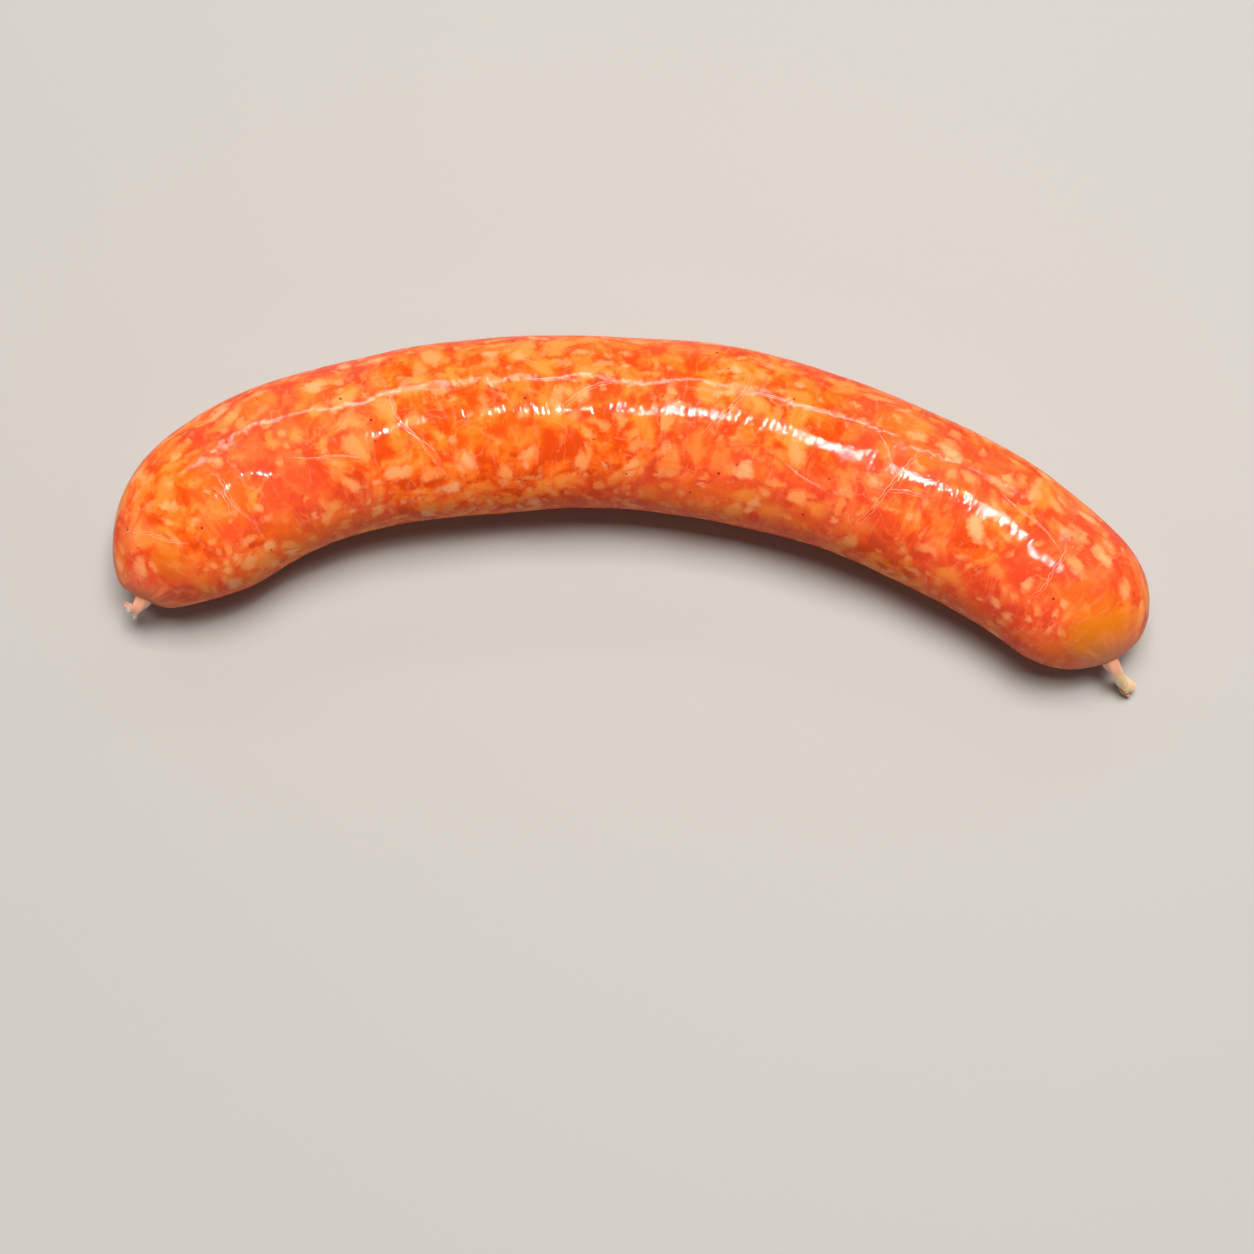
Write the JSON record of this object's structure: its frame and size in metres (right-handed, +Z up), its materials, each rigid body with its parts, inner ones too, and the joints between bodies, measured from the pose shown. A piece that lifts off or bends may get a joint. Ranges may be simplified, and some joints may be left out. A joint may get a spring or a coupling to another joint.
{
  "type": "raw sausage link",
  "caption": "Raw coarse-ground pork sausage in a natural casing, bent and lying on its side, with a cut twisted casing tail at each end.",
  "frame": {"origin": "on the surface the link lies on, under the middle of its box", "axes": "+X along the link, +Y towards the outside of its bend, +Z up"},
  "size_m": [0.1722, 0.059, 0.027],
  "materials": {
    "filled_casing": "wet natural casing over coarse orange-red minced meat with cream fat, pale at the tails"
  },
  "bodies": {
    "root": {"sausage": "filled_casing"}
  },
  "joints": []
}
